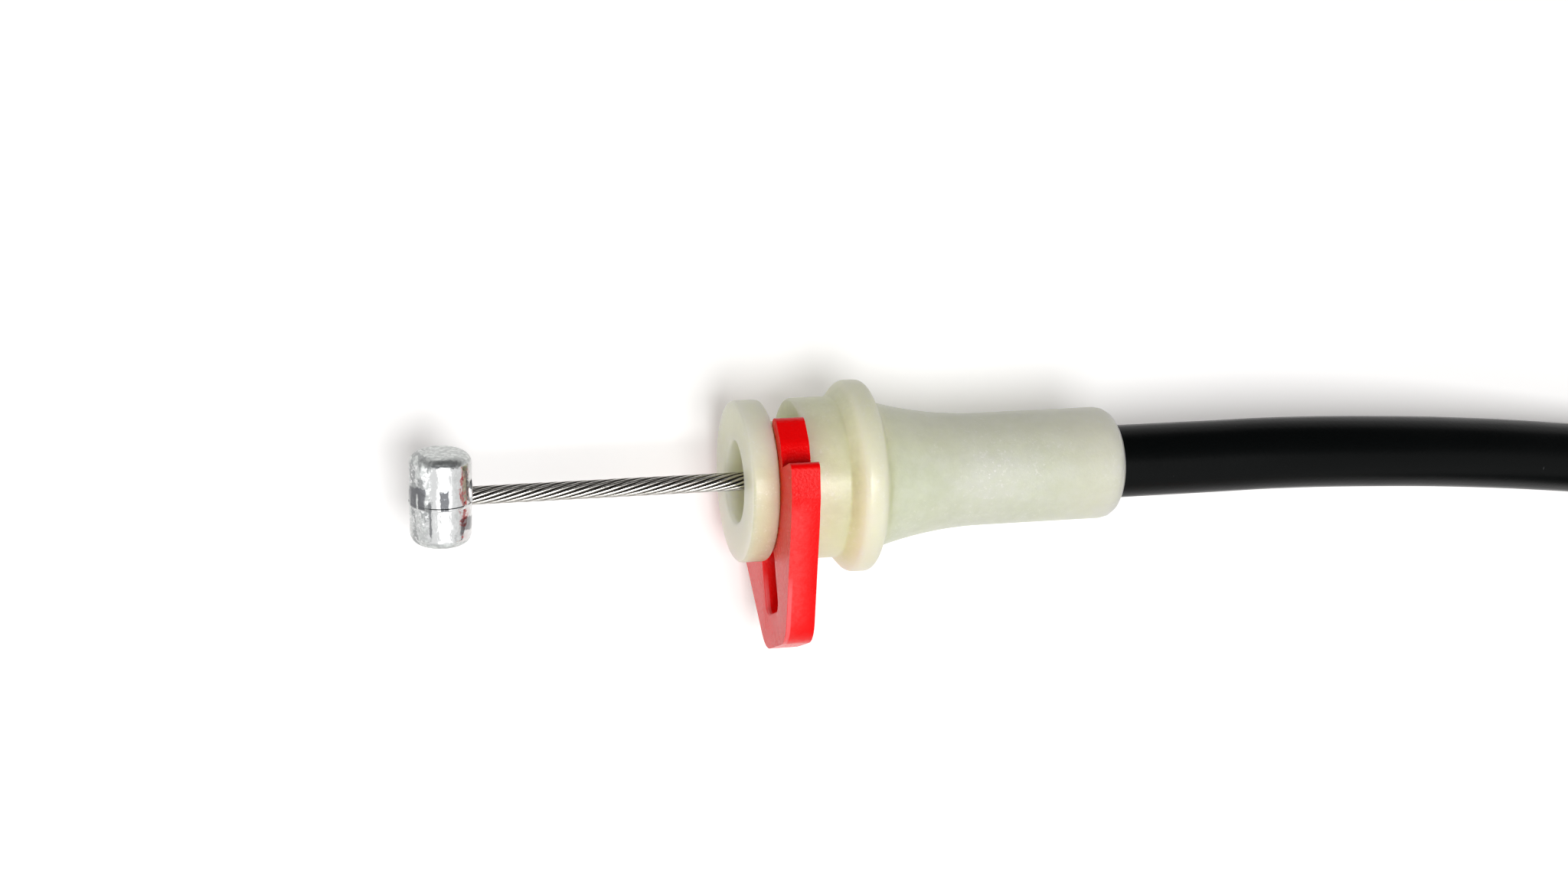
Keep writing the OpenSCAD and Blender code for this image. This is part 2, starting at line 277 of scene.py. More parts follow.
def turnShape(name, outline, centre, axis, radial, steps, closed=True, cornerSteps=4):
    # turns an outline of [along, out, corner cut] about an axis
    centre, axis, radial = Vector(centre), Vector(axis), Vector(radial)
    points = [(centre + axis * row[0] + radial * row[1]) * mm for row in outline]
    shape = startShape(name)
    bpy.ops.transform.translate(value=points[0])
    for start, end in zip(points, points[1:]):
        bpy.ops.mesh.extrude_vertices_move(TRANSFORM_OT_translate={"value": end - start})
    if closed:
        ends = (points[0], points[-1])
        pick(shape, "VERT", lambda v: min((v.co - end).length for end in ends) < pickGap)
        bpy.ops.mesh.edge_face_add()
    for point, row in zip(points, outline):
        if len(row) > 2:
            pick(shape, "VERT", lambda v: (v.co - point).length < pickGap)
            bpy.ops.mesh.bevel(offset=row[2] * mm, segments=cornerSteps, affect="VERTICES")
    bpy.ops.mesh.select_all(action="SELECT")
    bpy.ops.mesh.spin(steps=steps, angle=fullTurn, center=centre * mm, axis=axis)
    return closeShape(shape)


def hullPrism(name, circles, facing, depth, vertices=48):
    # the hull of round corners [centre, radius], drawn out along X or Y
    turned = {"X": (0, math.pi / 2, 0), "Y": (math.pi / 2, 0, 0)}[facing]
    along = {"X": Vector((1, 0, 0)), "Y": Vector((0, 1, 0))}[facing]
    shape = startShape(name)
    bpy.ops.mesh.delete(type="VERT")
    for centre, radius in circles:
        spot = (Vector(centre) - along * depth / 2) * mm
        bpy.ops.mesh.primitive_circle_add(
            vertices=vertices, radius=radius * mm, fill_type="NGON", location=spot, rotation=turned
        )
    bpy.ops.mesh.select_all(action="SELECT")
    bpy.ops.mesh.extrude_region_move(TRANSFORM_OT_translate={"value": along * depth * mm})
    bpy.ops.mesh.select_all(action="SELECT")
    bpy.ops.mesh.convex_hull(join_triangles=True)
    bpy.ops.mesh.select_all(action="SELECT")
    bpy.ops.mesh.dissolve_limited(angle_limit=math.radians(flatAngle))
    return closeShape(shape)


def twinOf(shape, name, shift, mirrored=False):
    twin = shape.copy()
    twin.data = shape.data.copy()
    twin.name = twin.data.name = name
    bpy.context.scene.collection.objects.link(twin)
    move = Matrix.Translation(Vector(shift) * mm)
    if mirrored:
        move = move @ Matrix.Scale(-1, 4, (0, 1, 0))
    twin.data.transform(move)
    if mirrored:
        twin.data.flip_normals()
    return twin


def dress(shape, material, slot, body, *replaced):
    shape.data.materials.clear()
    shape.data.materials.append(material)
    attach(shape, body)
    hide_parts(*replaced)


sheath = {
    "diameter": 6.0,
    "length": 1.038,
    "straight": [(-1.6, 0, 0), (15, 0, 0), (32.8, 0, 0)],  # from a ferrule's web to past its tail
    "lead": [
        (39, 0, 0), (48, -0.3, -0.7), (58, -0.9, -2.1), (68, -1.8, -3.7),
        (78, -2.9, -5), (88, -4.1, -5.8), (98, -5.2, -6.1),
    ],
    "tail": (99.5, -84, 0),
    "coilCentre": (110, -45.5),
    "coilStart": 82,
    "coilSweep": 1612,
    "meanRadius": 31,
    "pitch": 6.5,
    "lowLayer": -6.139,
    "climbHalf": 90,
    "pointsPerTurn": 24,
    "curveSteps": 5,
    "roundness": 8,
}


def coilPoint(t):
    # spirals in at a steady rate, climbs one layer, then spirals out; t is how far it has turned
    middle = sheath["coilSweep"] / 2
    radius = sheath["meanRadius"] + sheath["pitch"] * (abs(t - middle) - middle / 2) / 360
    share = (t - middle + sheath["climbHalf"]) / (2 * sheath["climbHalf"])
    share = min(1, max(0, share))
    height = sheath["lowLayer"] + sheath["pitch"] * share * share * (3 - 2 * share)
    angle = math.radians(sheath["coilStart"] - t)
    x, y = sheath["coilCentre"]
    return Vector((x + radius * math.cos(angle), y + radius * math.sin(angle), height))


def coilHeading(t, step=0.5):
    return (coilPoint(t + step) - coilPoint(t - step)).normalized()


def sheathRoute(part):
    sweep = part["coilSweep"]
    steps = round(sweep * part["pointsPerTurn"] / 360)
    straight = [Vector(point) for point in part["straight"]]
    route = straight + [Vector(point) for point in part["lead"]]
    route.append(coilPoint(0) - part["diameter"] * coilHeading(0))
    route += [coilPoint(sweep * i / steps) for i in range(steps + 1)]
    route.append(coilPoint(sweep) + part["diameter"] * coilHeading(sweep))
    route.append(Vector(part["tail"]))
    route += [farPlace + point for point in reversed(straight)]
    return route


def makeSheath(part):
    route = sheathRoute(part)
    data = bpy.data.curves.new("jacket_sheath", "CURVE")
    data.dimensions = "3D"
    data.resolution_u = part["curveSteps"]
    data.bevel_depth = part["diameter"] / 2 * mm
    data.bevel_resolution = part["roundness"]
    data.use_fill_caps = True
    data.twist_mode = "Z_UP"
    line = data.splines.new("BEZIER")
    line.bezier_points.add(len(route) - 1)
    for knot, point in zip(line.bezier_points, route):
        knot.co = point * mm
        knot.handle_left_type = knot.handle_right_type = "AUTO"
    shape = bpy.data.objects.new("jacket_sheath", data)
    bpy.context.scene.collection.objects.link(shape)
    return shape


sheathShape = makeSheath(sheath)
print("sheath laid")

ferrule = {
    "disc": -8.0,
    "groove": -5.75,
    "drum": -3.35,
    "drumRadius": 6.5,
    "neckRadius": 4.7,
    "flangeRadius": 7.75,
    "crest": (1.05, 2.6),
    "flare": (3.4, 12.4),
    "flareRadius": 5.95,
    "flareSteps": 12,
    "tailRadius": 4.6,
    "tail": 24.1,
    "mouthRadius": 3.25,
    "web": (-3.0, -1.6),
    "webHole": 1.3,
    "socketRadius": 3.02,
    "mouthCut": 0.4,  # how far each corner is cut back
    "rimCut": 0.35,
    "shoulderCut": 0.3,
    "neckCut": 0.15,
    "tailCut": 1.5,
    "socketCut": 0.12,
    "holeCut": 0.1,
    "steps": 128,
}


def flareRows(part):
    start, end = part["flare"]
    length, drop = end - start, part["flareRadius"] - part["tailRadius"]
    bend = (length * length + drop * drop) / (2 * drop)
    widest = math.asin(length / bend)
    steps = part["flareSteps"]
    angles = [widest * (1 - i / steps) for i in range(steps + 1)]
    return [
        (end - bend * math.sin(a), part["tailRadius"] + bend * (1 - math.cos(a))) for a in angles
    ]


def makeFerrule(part):
    flare = flareRows(part)
    outline = [
        (part["disc"], part["mouthRadius"], part["mouthCut"]),
        (part["disc"], part["drumRadius"], part["rimCut"]),
        (part["groove"], part["drumRadius"], part["rimCut"]),
        (part["groove"], part["neckRadius"], part["neckCut"]),
        (part["drum"], part["neckRadius"], part["neckCut"]),
        (part["drum"], part["drumRadius"], part["shoulderCut"]),
        (0, part["drumRadius"], part["neckCut"]),
        (part["crest"][0], part["flangeRadius"], part["rimCut"]),
        (part["crest"][1], part["flangeRadius"], part["rimCut"]),
        (*flare[0], part["shoulderCut"]),
        *flare[1:],
        (part["tail"], part["tailRadius"], part["tailCut"]),
        (part["tail"], part["socketRadius"], part["socketCut"]),
        (part["web"][1], part["socketRadius"]),
        (part["web"][1], part["webHole"], part["holeCut"]),
        (part["web"][0], part["webHole"], part["shoulderCut"]),
        (part["web"][0], part["mouthRadius"], part["mouthCut"]),
    ]
    name, steps = "near_ferrule_moulding", part["steps"]
    return turnShape(name, outline, (0, 0, 0), (1, 0, 0), (0, 0, 1), steps)


nearFerrule = makeFerrule(ferrule)
farFerrule = twinOf(nearFerrule, "far_ferrule_moulding", farPlace)
print("ferrules turned")

clip = {
    "x": -4.55,
    "thickness": 2.3,
    "turn": 8,
    "plate": [((-0.5, 9.4), 0.5), ((-2.6, 8.85), 0.5), ((-4.4, 7.95), 0.5), ((-10.8, 1.9), 2.6)],
    "prong": [(-1.6, 1.6), (1.6, 1.6), (3.2, 0.9)],
    "prongRadius": 7.4,
    "fork": 4.8,
    "forkTop": 10,
    "slot": [((-6.6, 1.05), 0.9), ((-9.8, 1.05), 0.9)],
    "slotReach": 2.2,
    "slotEnds": (-11, -5.4),
    "chamfer": 0.38,
    "chamferAngle": 40,
    "slotChamfer": 0.15,
    "slotAngle": 60,
    "faceGap": 0.01,  # an edge within this of a face counts as on it
    "softening": 0.07,
    "softenSteps": 2,
    "softenAngle": 25,
    "smoothAngle": 30,
}
clipTurn = Matrix.Rotation(math.radians(-clip["turn"]), 3, "X")


def clipCorners(part, rows, sides=(-1, 1)):
    # round corners given before the clip's turn about the cable
    spots = [((part["x"], y, side * z), radius) for (y, z), radius in rows for side in sides]
    return [(clipTurn @ Vector(spot), radius) for spot, radius in spots]


def prongCorners(part, side):
    rows = []
    for y, radius in part["prong"]:
        rows.append(((y, math.sqrt((part["prongRadius"] - radius) ** 2 - y * y)), radius))
    return clipCorners(part, rows, [side])


def onSlotRim(part, edge):
    if len(edge.link_faces) != 2 or edge.calc_face_angle(0) < math.radians(part["slotAngle"]):
        return False
    middle = clipTurn.transposed() @ (edge.verts[0].co + edge.verts[1].co) / (2 * mm)
    low, high = part["slotEnds"]
    outer = abs(middle.x - part["x"]) > part["thickness"] / 2 - part["faceGap"]
    return outer and low < middle.y < high and abs(middle.z) < part["slotReach"]


def makeClip(part):
    thick = part["thickness"]
    cutter = thick * 2  # past both faces
    shape = hullPrism("near_lock_clip", clipCorners(part, part["plate"]), "X", thick)
    for side in (-1, 1):
        prong = hullPrism("prong", prongCorners(part, side), "X", thick)
        combine(shape, prong, "UNION")
    fork = clipCorners(part, [((0, 0), part["fork"]), ((part["forkTop"], 0), part["fork"])], [1])
    combine(shape, hullPrism("fork", fork, "X", cutter), "DIFFERENCE")
    bevelEdges(shape, part["chamfer"], 1, part["chamferAngle"])
    slot = hullPrism("slot", clipCorners(part, part["slot"]), "X", cutter)
    combine(shape, slot, "DIFFERENCE")
    bpy.context.view_layer.objects.active = shape
    bpy.ops.object.mode_set(mode="EDIT")
    pick(shape, "EDGE", lambda edge: onSlotRim(part, edge))
    bpy.ops.mesh.bevel(offset=part["slotChamfer"] * mm, segments=1, affect="EDGES")
    bpy.ops.object.mode_set(mode="OBJECT")
    bevelEdges(shape, part["softening"], part["softenSteps"], part["softenAngle"])
    smoothShape(shape, part["smoothAngle"])
    return shape


nearClip = makeClip(clip)
farClip = twinOf(nearClip, "far_lock_clip", farPlace, mirrored=True)
print("lock clips cut")

strand = {
    "wires": 12,
    "wireRadius": 0.15,
    "slimming": 0.985,  # leaves a hair between the wires
    "ringRadius": 0.6,
    "lay": 14.3,
    "start": -33.3,
    "length": 43.3,
    "steps": 110,
    "sides": 10,
    "smoothAngle": 50,
}


def makeStrand(part):
    # one wire is wound about the axis and copied round it
    start = (part["start"] * mm, 0, 0)
    radius = part["wireRadius"] * part["slimming"] * mm
    bpy.ops.mesh.primitive_circle_add(
        vertices=part["sides"], radius=radius, location=start, rotation=(0, math.pi / 2, 0)
    )
    shape = bpy.context.object
    shape.name = shape.data.name = "near_strand_wires"
    bpy.ops.object.transform_apply(location=False, rotation=True, scale=False)
    bpy.ops.object.mode_set(mode="EDIT")
    bpy.ops.mesh.select_all(action="SELECT")
    bpy.ops.transform.translate(value=(0, 0, part["ringRadius"] * mm))
    bpy.ops.object.mode_set(mode="OBJECT")
    wound = -fullTurn * part["length"] / part["lay"]
    modify(
        shape, "SCREW", axis="X", angle=wound, screw_offset=part["length"] * mm,
        steps=part["steps"], render_steps=part["steps"],
    )
    bpy.ops.object.transform_apply(location=True, rotation=False, scale=False)
    bpy.ops.object.mode_set(mode="EDIT")
    bpy.ops.mesh.select_all(action="SELECT")
    bpy.ops.mesh.fill_holes(sides=0)
    bpy.ops.mesh.select_all(action="SELECT")
    for i in range(part["wires"] - 1):
        bpy.ops.mesh.duplicate()
        bpy.ops.transform.rotate(
            value=fullTurn / part["wires"], orient_axis="X", center_override=(0, 0, 0)
        )
    bpy.ops.mesh.select_all(action="SELECT")
    bpy.ops.mesh.normals_make_consistent(inside=False)
    bpy.ops.object.mode_set(mode="OBJECT")
    smoothShape(shape, part["smoothAngle"])
    return shape


nearStrand = makeStrand(strand)
farStrand = twinOf(nearStrand, "far_strand_wires", farPlace + farSlack)
print("strands laid")

nipple = {
    "centre": (-31.45, 0, 0),
    "radius": 2.45,
    "half": 3.7,
    "edge": 0.9,
    "edgeSteps": 6,
    "turn": 18,
    "draft": (0.05, 0.01, 0.03),  # taken off the radius at the start, seam and end
    "seam": -0.3,
    "seamHalf": 0.15,
    "seamHeight": 0.05,
    "seamSlope": 0.7,
    "steps": 96,
    "bossRadius": 1.35,
    "bossRise": 0.65,
    "bossEnd": -29.1,
    "bossEdge": 0.12,
    "bossSteps": 64,
    "hole": 0.77,
    "holeStart": -33.32,
    "holeSteps": 48,
    "overrun": 1,  # how far the hole's cutter reaches past the boss
    "smoothAngle": 30,
}


def makeNipple(part):
    lean = math.radians(part["turn"])
    axis = Vector((0, math.cos(lean), math.sin(lean)))
    middle = Vector(part["centre"])
    radius, half, seam = part["radius"], part["half"], part["seam"]
    seamHalf, seamHeight = part["seamHalf"], part["seamHeight"]
    startDraft, seamDraft, endDraft = part["draft"]
    outline = [
        (-half, 0),
        (-half, radius - startDraft, part["edge"]),
        (seam - seamHalf, radius - seamDraft),
        (seam - seamHalf / 2, radius + seamHeight * part["seamSlope"]),
        (seam + seamHalf / 2, radius + seamHeight),
        (seam + seamHalf, radius),
        (half, radius - endDraft, part["edge"]),
        (half, 0),
    ]
    edgeSteps, name = part["edgeSteps"], "near_nipple_casting"
    shape = turnShape(name, outline, middle, axis, (1, 0, 0), part["steps"], False, edgeSteps)
    reach, wide = part["bossEnd"] - middle.x, part["bossRadius"]
    outline = [(0, 0), (0, wide), (reach, wide, part["bossEdge"]), (reach, 0)]
    foot = middle + axis * part["bossRise"]
    boss = turnShape("boss", outline, foot, (1, 0, 0), (0, 0, 1), part["bossSteps"], False)
    combine(shape, boss, "UNION")
    reach, wide = part["bossEnd"] - part["holeStart"] + part["overrun"], part["hole"]
    outline = [(0, 0), (0, wide), (reach, wide), (reach, 0)]
    foot = (part["holeStart"], 0, 0)
    bore = turnShape("bore", outline, foot, (1, 0, 0), (0, 0, 1), part["holeSteps"], False)
    combine(shape, bore, "DIFFERENCE")
    smoothShape(shape, part["smoothAngle"])
    return shape


nearNipple = makeNipple(nipple)
farNipple = twinOf(nearNipple, "far_nipple_casting", farPlace + farSlack)
print("nipples cast")

tie = {
    "width": 4.0,
    "thickness": 0.6,
    "slack": 0.15,
    "softening": 0.15,
    "softenSteps": 3,
    "softenAngle": 50,
    "smoothAngle": 35,
    "cornerSteps": 40,
    "angles": {"coil_strap_a": 180, "coil_strap_b": 0},  # where each stands on the coil
}


def makeTie(name, part):
    # round the turns that the sheath makes at this angle of the coil
    first = (sheath["coilStart"] - part["angles"][name]) % 360
    crossings = int((sheath["coilSweep"] - first) // 360) + 1
    slack = Vector((part["slack"], 0, 0))
    spots = []
    for i in range(crossings):
        spot = coilPoint(first + 360 * i)
        spot.y = sheath["coilCentre"][1]
        spots += [spot - slack, spot + slack]
    radius, steps = sheath["diameter"] / 2, part["cornerSteps"]
    outer = [(spot, radius + part["thickness"]) for spot in spots]
    shape = hullPrism(name, outer, "Y", part["width"], steps)
    inner = [(spot, radius) for spot in spots]
    cutter = part["width"] * 2  # past both sides
    combine(shape, hullPrism("bundle", inner, "Y", cutter, steps), "DIFFERENCE")
    bevelEdges(shape, part["softening"], part["softenSteps"], part["softenAngle"])
    smoothShape(shape, part["smoothAngle"])
    return shape


tieA = makeTie("coil_strap_a", tie)
tieB = makeTie("coil_strap_b", tie)
print("coil tied")

# in a finish, a noise is its scale, detail and roughness, and a bump its depth and strength;
# a zone is where it starts, is full, fades and ends, in millimetres;
# a cut is how high a noise has to be to start to count and to count in full

zinc = {
    "cloud": (0.55, 3),
    "frost": (2.6, 5, 0.6),
    "streak": (1.1, 3),
    "streakStretch": (1.5, 0.3, 0.5),
    "ragged": (1.3, 3),  # waves the borders of the zones by up to half of raggedness
    "raggedness": 1.2,
    "raggedAcross": 0.5,
    "raggedCaps": 0.2,
    "caps": (2.95, 3.2),
    "sideMiddle": -0.15,
    "side": (0.85, 1.2),
    "frostCut": (0.3, 0.6),
    "drawn": (0.6, 1.1),  # the side by the boss is smoother
    "drawnPolish": (0.6, 0.7),  # less dull and less rough there by this
    # where the painted dark reflections lie, across the middle and down the left side
    "bandStart": (-0.42, -0.32),
    "bandEnd": (1.2, 1.5),
    "paintedMiddleReflection": (-0.4, -0.3, 0.3, 0.4),
    "middleReflectionCut": (0.22, 0.3),
    "leftEnd": (-1.5, -1.3),
    "leftCut": (0.42, 0.48),
    "pit": ((1.2, 1.35), (-2.4, -2.2, -1.3, -1.1), 0.8),  # across, along, depth of tone
    "trickle": ((-1.2, -1.12, -1.0, -0.92), (-2.7, -2.4, 0.3, 0.6), 0.8),
    "paintedCrescent": ((3.1, 3.17, 3.24, 3.32), 0.75),
    "crumbCuts": ((0.49, 0.54), (0.4, 0.55)),
    "crumbDepth": 0.6,
    "bright": (219, 220, 220),
    "greyCut": (0.35, 0.7),
    "greys": ((132, 135, 135), (206, 209, 207)),
    "capTone": (228, 231, 229),
    "capShare": 0.35,
    "markAndReflectionTone": (104, 105, 108),
    "waveBump": (0.3, 0.7),
    "streakBump": (0.06, 0.5),
    "frostBump": (0.04, 0.6),
    "roughness": (0.1, 0.3),  # where bright, and more by this where dull
}


def zincFinish(name, shift, part):
    # bright down the middle, frosted at the ends and sides, with painted dark reflections across
    # the middle, down the left side and below the top end, and a dark pit, trickle and frost
    # crumbs
    finish = startFinish(name)
    middle = shift + Vector(nipple["centre"])
    place = finish.place(middle)
    x, y, z = finish.split(place)
    lean = math.radians(nipple["turn"])
    along = y * math.cos(lean) + z * math.sin(lean)
    frost = finish.noise(place, *part["frost"])
    streak = finish.noise(finish.place(middle, part["streakStretch"]), *part["streak"])
    ragged = (finish.noise(place, *part["ragged"]) - 0.5) * part["raggedness"]
    level = along + ragged
    across = x + ragged * part["raggedAcross"]
    caps = (abs(along) + ragged * part["raggedCaps"]).rise(*part["caps"])
    side = (abs(x - part["sideMiddle"]) + ragged).rise(*part["side"])
    drawn = x.rise(*part["drawn"])
    lessDull, lessRough = part["drawnPolish"]
    dull = caps.orMore(side * frost.rise(*part["frostCut"]) * (1 - drawn * lessDull))

    # painted dark reflections: a streaked band across the middle of the barrel and down its left
    # side
    paintedMiddleReflection = across.window(*part["paintedMiddleReflection"]) * streak.rise(*part["middleReflectionCut"])
    paintedLeftReflection = across.fall(*part["leftEnd"]) * streak.rise(*part["leftCut"])
    reflectionBand = along.rise(*part["bandStart"]) * level.fall(*part["bandEnd"])
    zoneAcross, zoneAlong, depth = part["pit"]
    marksAndReflections = reflectionBand * paintedMiddleReflection.orMore(paintedLeftReflection) + across.rise(*zoneAcross) * level.window(*zoneAlong) * depth
    streakCut, frostCut = part["crumbCuts"]
    specks = side * (1 - drawn) * streak.rise(*streakCut) * frost.rise(*frostCut)
    zoneAcross, zoneAlong, depth = part["trickle"]
    trickle = across.window(*zoneAcross) * level.window(*zoneAlong) * depth
    marksAndReflections = marksAndReflections.orMore((specks * part["crumbDepth"]).orMore(trickle))
    # a painted dark reflection in a ring just below the top end, off the sides
    zoneAlong, depth = part["paintedCrescent"]
    marksAndReflections = marksAndReflections.orMore(along.window(*zoneAlong) * (1 - side) * depth)

    grey = finish.blend(frost.rise(*part["greyCut"]), *part["greys"])
    tone = finish.blend(dull, part["bright"], grey)
    tone = finish.blend(caps * part["capShare"], tone, part["capTone"])
    # this dark tone is painted reflection in the bands and the ring, and marks in the pit, trickle
    # and crumbs
    tone = finish.blend(marksAndReflections, tone, part["markAndReflectionTone"])
    waves = finish.bump(finish.noise(place, *part["cloud"]), *part["waveBump"])
    streaks = finish.bump(streak, *part["streakBump"], waves)
    grain = finish.bump(frost * (1 - drawn * lessRough), *part["frostBump"], streaks)
    polish, frosting = part["roughness"]
    return finish.shine(
        colour=tone, metallic=1.0, roughness=polish + dull * frosting, normal=grain
    )


steel = {
    "crown": (0.665, 0.745),
    "tarnish": (2.5, 3),
    "tarnishStretch": (0.4, 3, 3),
    "lowCut": (0.4, 0.7),
    "gapShadeTones": ((104, 100, 95), (68, 65, 61)),
    "highCut": (0.35, 0.7),
    "highlightTones": ((214, 212, 207), (184, 181, 175)),
    "scratch": (6, 3),
    "scratchStretch": (0.5, 6, 6),
    "scratchBump": (0.01, 0.5),
    "roughness": (0.3, 0.1),  # between the wires, and less by this on top
}


def strandFinish(name, shift, part):
    # painted shade between the wires and a painted highlight on each wire's outer side, both
    # varied by tarnish
    finish = startFinish(name)
    x, y, z = finish.split(finish.place(shift))
    crown = ((y * y + z * z) ** 0.5).rise(*part["crown"])
    tarnish = finish.noise(finish.place(shift, part["tarnishStretch"]), *part["tarnish"])
    # painted shade in the gaps between the wires, painted highlight on their crowns
    low = finish.blend(tarnish.rise(*part["lowCut"]), *part["gapShadeTones"])
    high = finish.blend(tarnish.rise(*part["highCut"]), *part["highlightTones"])
    tone = finish.blend(crown, low, high)
    scratch = finish.noise(finish.place(shift, part["scratchStretch"]), *part["scratch"])
    skin = finish.bump(scratch, *part["scratchBump"])
    dull, polish = part["roughness"]
    return finish.shine(colour=tone, metallic=1.0, roughness=dull - crown * polish, normal=skin)


nylon = {
    "mottle": (0.6, 5, 0.65),
    "fleckCut": (0.3, 0.75),
    "warmTones": ((218, 219, 180), (232, 234, 196)),
    "coolTones": ((215, 220, 193), (226, 231, 207)),
    "coolStart": (2.6, 4.6),
    "upper": (-1, 4),
    "discEnd": (-5.85, -5.6),
    "faceEnd": (-7.95, -7.85),
    "rimShadeTone": (206, 203, 170),
    "rimShadeShare": 0.6,
    "drumStart": (-3.4, -3.2),
    "collarEnd": (2.8, 3.6),
    "collarTop": (-5.5, -2.5),
    "collarLightTone": (238, 250, 202),
    "collarLightShare": 0.6,
    # shares and zones of the painted light
    "discShare": 0.85,  # on the upper half
    "faceShare": (0.85, 1.15),  # on the disc's face, and less by this on the upper half
    "drumShare": 0.35,
    "boreEnd": (-3.3, -3.0),
    "boreRadius": (3.3, 3.6),
    "flange": (0.2, 1.0, 2.5, 3.4),
    "flangeShare": 0.7,
    "tailLightening": (15, 24),
    "tailLightShare": 0.45,
    "tailLipHighlight": (23.4, 24),
    "tailLipShare": 0.4,
    "paintedLightTone": (250, 247, 216),
    # a painted highlight patch on the tail, and painted glints in scattered zones and on that
    # patch
    "paintedHighlight": (7, 12, 12.5, 18),
    "highlightHeight": (-4, -1.5, 0, 2),
    "highlightShare": 0.25,
    "specks": (2.8, 5, 0.75),
    "glintCut": (0.54, 0.66),
    "glintZones": (0.28, 2),
    "glintZonesCut": (0.42, 0.6),
    "glintShares": (0.4, 0.5),  # in its zones and on the painted highlight
    "glintTone": (252, 253, 238),
    "ripple": (0.9, 3),
    "rippleBump": (0.08, 0.5),
    "skin": (9, 3),
    "skinBump": (0.012, 0.6),
    "roughness": (0.27, 0.14),
    "ior": 1.5,
    "milkiness": 0.9,
    "milkRadius": (0.95, 1.0, 0.7),
    "milkDepth": 4.5,
}


def nylonFinish(name, shift, part):
    # warmer at the drum and cooler down the tail, with painted light on the upper halves, the
    # disc's face, the bore, the flange, the lower collar and towards the tail, painted shade on
    # the disc's lower rim, and a painted highlight with glints on the tail
    finish = startFinish(name)
    place = finish.place(shift)
    x, y, z = finish.split(place)
    mottle = finish.noise(place, *part["mottle"])
    fleck = mottle.rise(*part["fleckCut"])
    warm = finish.blend(fleck, *part["warmTones"])
    cool = finish.blend(fleck, *part["coolTones"])
    tone = finish.blend(x.rise(*part["coolStart"]), warm, cool)

    upper = y.rise(*part["upper"])
    onDisc = x.fall(*part["discEnd"])
    onFace = x.fall(*part["faceEnd"])
    pastGroove = x.rise(*part["drumStart"])
    # painted shade on the lower half of the disc's rim
    onRim = (onDisc - onFace) * (1 - upper)
    tone = finish.blend(onRim * part["rimShadeShare"], tone, part["rimShadeTone"])
    # painted light: a paler, greener lower side of the drum and flange
    onCollar = pastGroove * x.fall(*part["collarEnd"]) * y.fall(*part["collarTop"])
    tone = finish.blend(onCollar * part["collarLightShare"], tone, part["collarLightTone"])

    # painted light: lighter upper halves of the disc and of all past the groove, a lighter disc
    # face (less so on its upper half), lighter towards the tail with a painted highlight at its
    # end, and a lighter flange and bore
    below, above = part["faceShare"]
    paintedLight = onDisc * upper * part["discShare"] + onFace * (below - upper * above)
    paintedLight = paintedLight + pastGroove * upper * part["drumShare"]
    paintedLight = paintedLight + x.rise(*part["tailLightening"]) * part["tailLightShare"]
    paintedLight = paintedLight + x.rise(*part["tailLipHighlight"]) * part["tailLipShare"]
    bore = x.fall(*part["boreEnd"]) * ((y * y + z * z) ** 0.5).fall(*part["boreRadius"])
    paintedLight = paintedLight.orMore(x.window(*part["flange"]) * part["flangeShare"]).orMore(bore)
    tone = finish.blend(paintedLight, tone, part["paintedLightTone"])

    # a painted highlight patch on the tail, with painted glints in scattered zones and on the
    # patch
    paintedHighlight = x.window(*part["paintedHighlight"]) * y.window(*part["highlightHeight"])
    glintZoneMask = finish.noise(place, *part["glintZones"]).rise(*part["glintZonesCut"])
    inZones, onHighlight = part["glintShares"]
    specks = finish.noise(place, *part["specks"]).rise(*part["glintCut"])
    specks = specks * (glintZoneMask * inZones + paintedHighlight * onHighlight)
    tone = finish.blend(specks + paintedHighlight * part["highlightShare"], tone, part["glintTone"])

    ripple = finish.bump(finish.noise(place, *part["ripple"]), *part["rippleBump"])
    skin = finish.bump(finish.noise(place, *part["skin"]), *part["skinBump"], ripple)
    polish, frosting = part["roughness"]
    return finish.shine(
        colour=tone, roughness=polish + mottle * frosting, normal=skin, ior=part["ior"],
        subsurface=part["milkiness"], subsurfaceRadius=part["milkRadius"],
        subsurfaceScale=part["milkDepth"] * mm,
    )


lockRed = {
    "flow": (0.8, 3),
    "flowStretch": 0.4,
    "flowReach": 2,  # the flow moves the painted sheen's border along the tab by up to this
    "flowCut": (0.4, 0.65),
    "tones": ((255, 0, 6), (250, 0, 3)),
    "peel": (2.6, 5, 0.7),
    "peelCut": (0.35, 0.65),
    "paintedSheen": (-12.4, -9.2, -2.0, -0.2),
    "sheenEnd": (-5.4, -3.5),
    "sheenMiddle": 0.5,
    "sheenSide": (1, 2.4),
    "sheenBreak": (0.6, 0.6),  # its least share, and more by this where the skin is rough
    "sheenTone": (254, 66, 66),
    "edge": (-5.71, -5.62, -5.42, -5.3),
    "chamferReflectionEnd": (-8, -6),
    "chamferReflectionTone": (254, 140, 144),
    "chamferReflectionShare": 0.5,
    "grain": (5, 4, 0.6),
    "grainBump": (0.05, 0.9),
    "roughness": (0.2, 0.12),
    "ior": 1.24,
}


